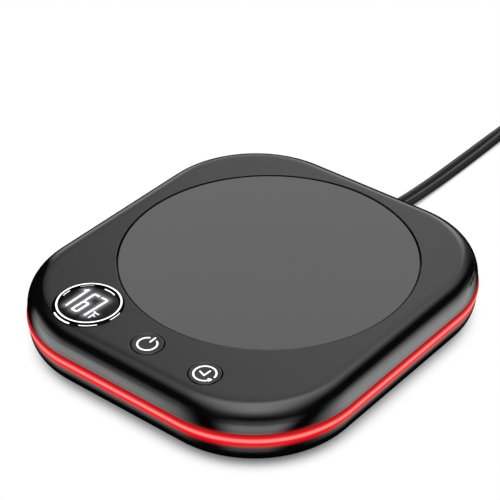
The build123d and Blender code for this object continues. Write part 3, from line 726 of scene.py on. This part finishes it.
def display_rim():
    """Black rim round the display, its foot wider at the front, and the white light guide on top."""
    low, top = UNDER_Z, DISPLAY_TOP
    foot = [(DISPLAY_R, low), (DISPLAY_R, DECK_Z - 0.06), (FLARE_R, DECK_Z - 0.06), (FLARE_R, DECK_Z + 0.02)]
    flare = [(11.15, DECK_Z + 0.05), (10.98, DECK_Z + 0.2), (10.84, top - 0.16), (10.72, top - 0.05)]
    seat = [(10.48, top - 0.03), (10.46, top - 0.3), (9.86, top - 0.3), (9.84, top - 0.03)]
    inner = [(9.5, top - 0.05), (9.4, top - 0.16), (9.3, LENS_TOP + 0.1), (9.25, LENS_TOP), (9.25, low)]
    skin = Skin()
    loops = []
    for radius, z in foot + flare + seat + inner:
        shift_x, shift_y = FLARE_SHIFT if radius == FLARE_R else (0.0, 0.0)
        loops.append(circle(radius, z, DISPLAY_X + shift_x, DISPLAY_Y + shift_y, 128))
    first, last = skin.rows(loops)
    skin.bridge(last, first)
    rim = skin.piece("display_rim", "display_black", finish="bezel_black", sharp=50)
    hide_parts("display_bezel")
    crown = [(10.16 + 0.28 * cos(t), top - 0.1 + 0.1 * sin(t)) for t in [pi * i / 8 for i in range(9)]]
    guide = [(10.44, top - 0.28)] + crown + [(9.88, top - 0.28)]
    ring = turned("display_ring", "display_white", guide, DISPLAY_X, DISPLAY_Y, solid=False, sharp=60)
    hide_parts("display_light_ring")


# Painted highlights: glowing strokes where light glints at the foot and on the inner wall of the rim:
# radius, height, first and last angle, width, finish
RIM_HIGHLIGHTS = {
    "rim_highlight_front_left": (11.22, 21.68, 243, 279, 0.74, "display_white"),
    "rim_highlight_front": (11.12, 21.68, 297, 325, 0.38, "display_white"),
    "rim_highlight_right": (11.0, 21.84, 350, 372, 0.24, "display_white"),
    "rim_highlight_left": (9.33, 22.05, 174, 192, 0.22, "display_white"),
    "rim_highlight_back": (9.42, 22.05, 124, 149, 0.22, "painted_highlight_grey"),
    "rim_highlight_back_right": (9.0, 21.6, 72, 99, 0.34, "display_white"),
}


def painted_rim_highlights():
    """The painted highlights of the table, each a glowing curved stroke."""
    for name, (radius, z, start, end, width, finish) in RIM_HIGHLIGHTS.items():
        skin = Skin()
        path = moved(arc(radius, start, end, 2.0), DISPLAY_X, DISPLAY_Y)
        ribbon(skin, path, width, z - 0.1, z + 0.06)
        # the white or grey glow of each stroke is a painted highlight, not a lamp
        skin.piece(name, "display_white", finish=finish)


def button(name, x):
    """A round cap with a soft edge and a slightly dished top; it rides with its switch plunger."""
    body = name + "_button"
    edge = rounded_edge(BUTTON_R, BUTTON_TOP, CAP_EDGE)[:-1]
    dish = [(BUTTON_R - 0.56 - 0.54 * i, BUTTON_TOP - 0.12 * sin(pi / 2 * i / 7)) for i in range(8)]
    tabs = [(BUTTON_R + 1.15, UNDER_Z), (BUTTON_R + 1.15, UNDER_Z + 0.7), (BUTTON_R, UNDER_Z + 0.75)]
    cap = turned(name + "_cap", "shell_black", tabs + edge + dish, x, BUTTON_Y, body, count=96)
    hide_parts(name + "_button_cap")


SIGN_LOW, SIGN_HIGH = BUTTON_TOP - 0.16, BUTTON_TOP - 0.03
SIGN_WIDE = 0.58


def power_sign():
    """Ring open at the top with a bar in the gap."""
    skin = Skin()
    x = BUTTON_XS["power"]
    for path in (arc(3.07, 118, 422), [(0, 1.3), (0, 3.8)]):
        ribbon(skin, moved(path, x, BUTTON_Y), SIGN_WIDE, SIGN_LOW, SIGN_HIGH)
    skin.piece("power_sign", "display_white", "power_button", "sign_white")


def timer_sign():
    """Clock hands in a ring that ends in an arrowhead."""
    skin = Skin()
    x = BUTTON_XS["timer"]
    ring = arc(3.45, 6, 336)
    tip_x, tip_y = ring[-1]
    head = [(tip_x - 0.7, tip_y + 0.1), (tip_x + 0.12, tip_y + 0.28), (tip_x + 0.16, tip_y - 0.6)]
    for path, width in ((ring, SIGN_WIDE), (head, 0.6), ([(-1.8, -0.1), (0.35, -0.8), (0.5, 1.9)], 0.5)):
        ribbon(skin, moved(path, x, BUTTON_Y), width, SIGN_LOW, SIGN_HIGH)
    skin.piece("timer_sign", "display_white", "timer_button", "sign_white")


def feet():
    """Four rubber feet with a rounded edge and a shallow hollow."""
    turns = [pi / 2 * i / 5 for i in range(6)]
    flat = FOOT_R - FOOT_EDGE
    edge = [(flat + FOOT_EDGE * cos(t), FOOT_EDGE - FOOT_EDGE * sin(t)) for t in turns]
    profile = [(FOOT_R, BASE_Z), *edge, (FOOT_R - 0.5, 0.0), (3.4, 0.0), (3.2, 0.25), (0.4, 0.25)]
    for i, (sx, sy) in enumerate(CORNERS):
        foot = turned(f"foot_{i + 1}", "rubber_black", profile, sx * FOOT_X, sy * FOOT_Y, count=64)
        if i == 0:
            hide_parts("rubber_feet")


# ---------------------------------------------------------------- lead and plug


def oval(wide, tall, corner, count=8):
    """Rounded rectangle as (across, up) points."""
    points = []
    for i, (sx, sy) in enumerate(CORNERS):
        middle_x, middle_y = sx * (wide / 2 - corner), sy * (tall / 2 - corner)
        for step in range(count + 1):
            turn = pi / 2 * (i + step / count)
            points.append((middle_x + corner * cos(turn), middle_y + corner * sin(turn)))
    return points


def sleeve(name, slot, origin, axis, stations, replaced):
    """A moulded sleeve along an axis, from stations of (along, wide, tall, corner)."""
    across = Vector((1, 0, 0))
    up = across.cross(axis)
    if up.z < 0:
        up = -up
    skin = Skin()
    loops = []
    for along, wide, tall, corner in stations:
        loops.append([origin + axis * along + across * a + up * b for a, b in oval(wide, tall, corner)])
    first, last = skin.rows(loops)
    skin.cap(first)
    skin.cap(last)
    piece = skin.piece(name, slot, sharp=40)
    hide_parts(replaced)
    return piece


def ribbed(start, end, wide, tall, core_wide, core_tall, first_rib, pitch, groove, count, corner):
    """Stations of a tapered sleeve with grooves across it; each pair of sizes is at its start and its end."""

    def between(along, *pairs, less=0.0):
        share = (along - start) / (end - start)
        return [low + share * (high - low) - less for low, high in pairs]

    def skin_at(place, along, less=0.0):
        return place, *between(along, wide, tall, less=less), corner

    def core_at(place, along):
        return place, *between(along, core_wide, core_tall), corner * 0.7

    stations = [skin_at(start, start, 0.5), skin_at(start + 0.25, start + 0.25)]
    for i in range(count):
        a, b = first_rib + pitch * i, first_rib + pitch * i + groove
        stations += [skin_at(a - 0.15, a), skin_at(a, a, 0.3), core_at(a + 0.05, a)]
        stations += [core_at(b - 0.05, b), skin_at(b, b, 0.3), skin_at(b + 0.15, b)]
    stations += [skin_at(end - 0.5, end - 0.5), (end, *between(end, wide, tall, less=0.9), corner * 0.8)]
    return stations


def strain_relief():
    """Ribbed sleeve that holds the lead where it leaves the case."""
    axis = Vector((0, cos(RELIEF_TILT), -sin(RELIEF_TILT)))
    stations = [(3.0, 12.6, 5.8, 1.6), (4.5, 12.6, 5.8, 1.6), (4.55, 9.0, 5.0, 1.6), (7.4, 9.0, 5.0, 1.6)]
    stations += ribbed(7.45, RELIEF_TIP, (11.0, 9.6), (7.0, 5.6), (7.4, 6.9), (3.9, 3.7),
                       first_rib=9.4, pitch=2.7, groove=1.1, count=3, corner=1.7)
    return sleeve("relief_sleeve", "cord_black", Vector(RELIEF_START), axis, stations, "strain_relief")


def plug():
    """Grip of the plug with its ribbed tail, and its two blades."""
    axis = Vector((0, -1, 0))
    stations = ribbed(0, 12.0, (7.6, 10.2), (4.8, 7.4), (6.4, 7.4), (3.9, 4.6),
                      first_rib=2.2, pitch=2.8, groove=1.0, count=3, corner=1.8)[:-2]
    stations += [(11.4, 10.0, 7.2, 2.0), (12.0, 12.5, 9.0, 2.6), (13.0, 14.6, 10.6, 3.2)]
    stations += [(15.0, 16.2, 11.4, 3.4), (19.0, 17.6, 11.8, 3.5), (24.0, 19.6, 12.4, 3.6)]
    stations += [(28.0, 21.6, 13.1, 3.6), (31.0, 23.2, 13.7, 3.6), (33.0, 23.9, 13.95, 3.6)]
    stations += [(36.2, 24.0, 14.0, 3.6), (36.8, 23.6, 13.6, 3.4), (37.0, 22.8, 12.8, 3.2)]
    body = sleeve("plug_grip", "plug_black", Vector((PLUG_X, PLUG_Y, PLUG_Z)), axis, stations, "plug_body")
    return [body, blade(-1), blade(1)]


BLADE_SPACING, BLADE_LONG, BLADE_TALL, BLADE_THICK = 12.7, 17.4, 6.35, 1.5
BLADE_HOLE_R, BLADE_HOLE_AT, BLADE_NOSE = 1.6, 12.7, 2.0


def blade(side):
    """Flat contact blade with a rounded nose and a hole near its end."""
    skin = Skin()
    x = PLUG_X + side * BLADE_SPACING / 2
    start, low = PLUG_Y - 36.6, -BLADE_TALL / 2
    nose = start - BLADE_LONG + BLADE_NOSE
    turns = [pi / 2 * i / 8 for i in range(9)]
    outer = [(start, -low), (start, low)]
    outer += [(nose - BLADE_NOSE * sin(t), low + 1.2 * (1 - cos(t))) for t in turns]
    outer += [(y, -z) for y, z in reversed(outer[2:])]
    turns = [2 * pi * i / 32 for i in range(32)]
    hole = [(start - BLADE_HOLE_AT + BLADE_HOLE_R * cos(t), BLADE_HOLE_R * sin(t)) for t in turns]
    ends = []
    for offset in (-BLADE_THICK / 2, BLADE_THICK / 2):
        rings = [[Vector((x + offset, y, PLUG_Z + z)) for y, z in ring] for ring in (outer, hole)]
        ends.append([skin.loop(ring) for ring in rings])
    for near, far in zip(ends[0], ends[1]):
        skin.bridge(near, far)
    for ring, inner in ends:
        skin.cap(ring, [inner])
    name = "blade_left" if side < 0 else "blade_right"
    piece = skin.piece(name, "blade_brass")
    if side < 0:
        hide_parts("plug_blades")
    return piece


def coil_points(steps=16):
    """Control points of the wound lead: inwards on the lower layer, then outwards on the upper one."""
    points = []
    low, high = CORD_WIDE / 2, CORD_WIDE * 1.5
    total_low, total_high = COIL_TURNS * steps, int(2.25 * steps)
    for i in range(2, total_low + 1):
        turn = pi - 2 * pi * i / steps
        radius = COIL_TURN_R - COIL_STEP * i / steps
        points.append((COIL_X + radius * cos(turn), COIL_Y + radius * sin(turn), low))
    inner = COIL_TURN_R - COIL_STEP * COIL_TURNS
    for i in range(1, total_high + 1):
        turn = pi - 2 * pi * i / steps
        radius = inner + COIL_STEP * i / steps
        rise = min(1.0, i / 5)
        points.append((COIL_X + radius * cos(turn), COIL_Y + radius * sin(turn), low + (high - low) * rise))
    return points


def lead_line(points):
    """The smooth line along the route: a quadratic spline with the points as its controls."""
    curve = bpy.data.curves.new("lead_line", "CURVE")
    curve.dimensions = "3D"
    spline = curve.splines.new("NURBS")
    spline.points.add(len(points) - 1)
    for target, point in zip(spline.points, points):
        target.co = (*(Vector(point) * MM), 1)
    spline.order_u = 3
    spline.use_endpoint_u = True
    spline.resolution_u = 12
    holder = bpy.data.objects.new("lead_line", curve)
    mesh = bpy.data.meshes.new_from_object(holder)
    line = [v.co / MM for v in mesh.vertices]
    bpy.data.objects.remove(holder)
    bpy.data.meshes.remove(mesh)
    return line


def twin_section(count=14):
    """Flat twin lead: two round cores side by side, joined by a thin web between two deep grooves."""
    radius = CORD_THICK / 2
    centre = CORD_WIDE / 2 - radius
    turns = [radians(-156 + 312 * i / count) for i in range(count + 1)]
    right = [(centre + radius * cos(t), radius * sin(t)) for t in turns]
    return right + [(0.0, 0.3)] + [(-a, -b) for a, b in right] + [(0.0, -0.3)]


def mains_lead():
    """The whole lead as one tube: flat as it leaves, tipped onto its edge for the coil, flat at the plug."""
    line = lead_line([*CORD_ROUTE, *coil_points(), *PLUG_ROUTE])
    lengths = [0.0]
    for a, b in zip(line, line[1:]):
        lengths.append(lengths[-1] + (b - a).length)
    total = lengths[-1]
    skin = Skin()
    loops = []
    for i, point in enumerate(line):
        ahead, behind = line[min(i + 1, len(line) - 1)], line[max(i - 1, 0)]
        tangent = (ahead - behind).normalized()
        beside = tangent.cross(Vector((0, 0, 1))).normalized()
        up = beside.cross(tangent)
        start = tipped(point.z) if point.y > LIFT_Y else 0.0
        end = ease((total - lengths[i] - 12) / 50)
        turn = pi / 2 * min(start, end)
        across = beside * cos(turn) + up * sin(turn)
        rise = up * cos(turn) - beside * sin(turn)
        loops.append([point + across * a + rise * b for a, b in twin_section()])
    first, last = skin.rows(loops)
    skin.cap(first)
    skin.cap(last)
    lead = skin.piece("mains_lead", "cord_black", sharp=70)
    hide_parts("power_cord", "cord_coil", "plug_lead")
    return lead, line, total


def tipped(z):
    """Share of a quarter turn at which the flat lead, its middle at height z, still touches the table."""
    radius = CORD_THICK / 2
    lift = (z - radius) / (CORD_WIDE / 2 - radius)
    return math.asin(min(1.0, max(0.0, lift))) / (pi / 2)


def ease(share):
    """0 to 1, smooth at both ends."""
    share = min(1.0, max(0.0, share))
    return share * share * (3 - 2 * share)


# ---------------------------------------------------------------- the object

lead, lead_path, lead_length = mains_lead()
relief = strain_relief()
plug_pieces = plug()

top_shell()
base_shell()
light_strip()
glass_plate()
display_window()
numerals()
display_rim()
painted_rim_highlights()
for name, x in BUTTON_XS.items():
    button(name, x)
power_sign()
timer_sign()
feet()


# ---------------------------------------------------------------- studio


def windows(x, y, right_end):
    """Soft windows at the right, in front and at the left, by the direction of x and y seen from above."""
    turn = y.math("ARCTAN2", x) * (180 / pi)
    right = turn.above(5, 40) * turn.above(*right_end)
    front = 0.86 * turn.above(-92, -60) * turn.above(-3, -27)
    left = turn.above(-177, -162) * turn.above(-100, -148)
    return right, front, left


FLOOR_CORNERS = [(-1, -1), (1, -1), (1, 1), (-1, 1)]


def floor():
    """A wide floor: white with a soft close shadow to the camera, the windows mirrored in it to glossy
    reflections as painted light with a painted shadow close round the case, and plain pale to all other
    light."""
    mesh = bpy.data.meshes.new("floor")
    reach = 6.0
    mesh.from_pydata([(sx * reach, sy * reach, 0) for sx, sy in FLOOR_CORNERS], [], [(0, 1, 2, 3)])
    ground = bpy.data.objects.new("floor", mesh)
    bpy.context.scene.collection.objects.link(ground)
    material = bpy.data.materials.new("floor_white")
    material.use_nodes = True
    paint = Paint(material.node_tree)
    open_sky = paint.node("AmbientOcclusion", {"Distance": 0.010}, out="AO", samples=16)
    shadow = 0.15 + 0.85 * open_sky.above(0.10, 0.66)
    x, y, _ = paint.split(paint.place())
    out_x = (abs(x) - (HALF_X - CORNER_R)).math("MAXIMUM", 0)
    out_y = (abs(y) - (HALF_Y - CORNER_R)).math("MAXIMUM", 0)
    outside = (out_x * out_x + out_y * out_y) ** 0.5 - CORNER_R
    from_x, from_y = x - 35, y + 50
    away = (from_x * from_x + from_y * from_y) ** 0.5
    right, front, left = windows(from_x, from_y, (83, 67))
    right = (0.72 + 0.28 * away.above(350, 150)) * right
    left = (0.6 + 0.4 * away.above(250, 110)) * left
    ahead = (0.33 + 0.67 * away.above(140, 30)) * front
    # painted shadow: to glossy rays the painted window reflections fade out within about 2 to 6 mm of the
    # case outline
    mirrored = 0.95 * right.math("MAXIMUM", left).math("MAXIMUM", ahead) * outside.above(2.1, 5.6)
    camera, glossy = [paint.node("LightPath", out=name) for name in ("Is Camera Ray", "Is Glossy Ray")]
    shown = paint.node("Emission", {"Color": (1, 1, 1, 1), "Strength": shadow * camera + mirrored * glossy})
    plain = paint.node("BsdfDiffuse", {"Color": (0.85, 0.85, 0.85, 1)})
    both = paint.node("MixShader", {0: camera.math("MAXIMUM", glossy), 1: plain, 2: shown})
    out = material.node_tree.nodes.new("ShaderNodeOutputMaterial")
    paint.tree.links.new(both.socket, out.inputs[0])
    mesh.materials.append(material)


def studio_world():
    """White to the camera and an even light to matte surfaces. Glossy reflections see a white card behind, a
    soft panel overhead, soft windows round the horizon and black elsewhere."""
    world = bpy.data.worlds.new("studio")
    bpy.context.scene.world = world
    world.use_nodes = True
    paint = Paint(world.node_tree)
    x, y, z = paint.split(paint.node("TexCoord", out="Generated"))
    along, across = 0.642 * x - 0.766 * y, 0.766 * x + 0.642 * y
    card = (z - 0.43 * x).above(0.893, 0.833) * z.above(0.0, 0.35)
    card = card * across.above(-0.105, -0.065) * x.above(-0.1, -0.42) * y.above(0.2, 0.4)
    edge_card = 0.5 * z.above(0.5, 0.4) * y.above(0.46, 0.56) * y.above(0.75, 0.65) * x.above(-0.3, -0.5)
    panel = 0.93 * (along + 0.4 * across).above(-0.9, -0.3)
    panel = panel * along.above(0.95, 0.15) * abs(across).above(0.7, 0.0)
    right, front, left = windows(x, y, (77, 49))
    low = z.above(0.45, -0.25) * right.math("MAXIMUM", left).math("MAXIMUM", 0.35 * front)
    seen = card.math("MAXIMUM", edge_card).math("MAXIMUM", panel).math("MAXIMUM", low)
    camera, glossy = [paint.node("LightPath", out=name) for name in ("Is Camera Ray", "Is Glossy Ray")]
    strength = camera + glossy * seen + (1 - camera - glossy) * 0.8
    back = paint.node("Background", {"Color": (1, 1, 1, 1), "Strength": strength})
    out = world.node_tree.nodes.new("ShaderNodeOutputWorld")
    paint.tree.links.new(back.socket, out.inputs[0])


KEY_PLACE, KEY_AIM = Vector((-0.2, 0.3, 1.1)), Vector((0, 0, 0.01))
KEY_SIZE, KEY_WATTS = 0.8, 2.5


def key_lamp():
    """A wide soft lamp overhead, which no glossy surface reflects."""
    data = bpy.data.lights.new("key", "AREA")
    data.shape, data.size, data.energy = "DISK", KEY_SIZE, KEY_WATTS
    made = bpy.data.objects.new("key", data)
    bpy.context.scene.collection.objects.link(made)
    made.location = KEY_PLACE
    made.rotation_mode = "QUATERNION"
    made.rotation_quaternion = (KEY_PLACE - KEY_AIM).to_track_quat("Z", "Y")
    made.visible_glossy = False


floor()
studio_world()
key_lamp()

bpy.context.scene.view_settings.view_transform = "Standard"
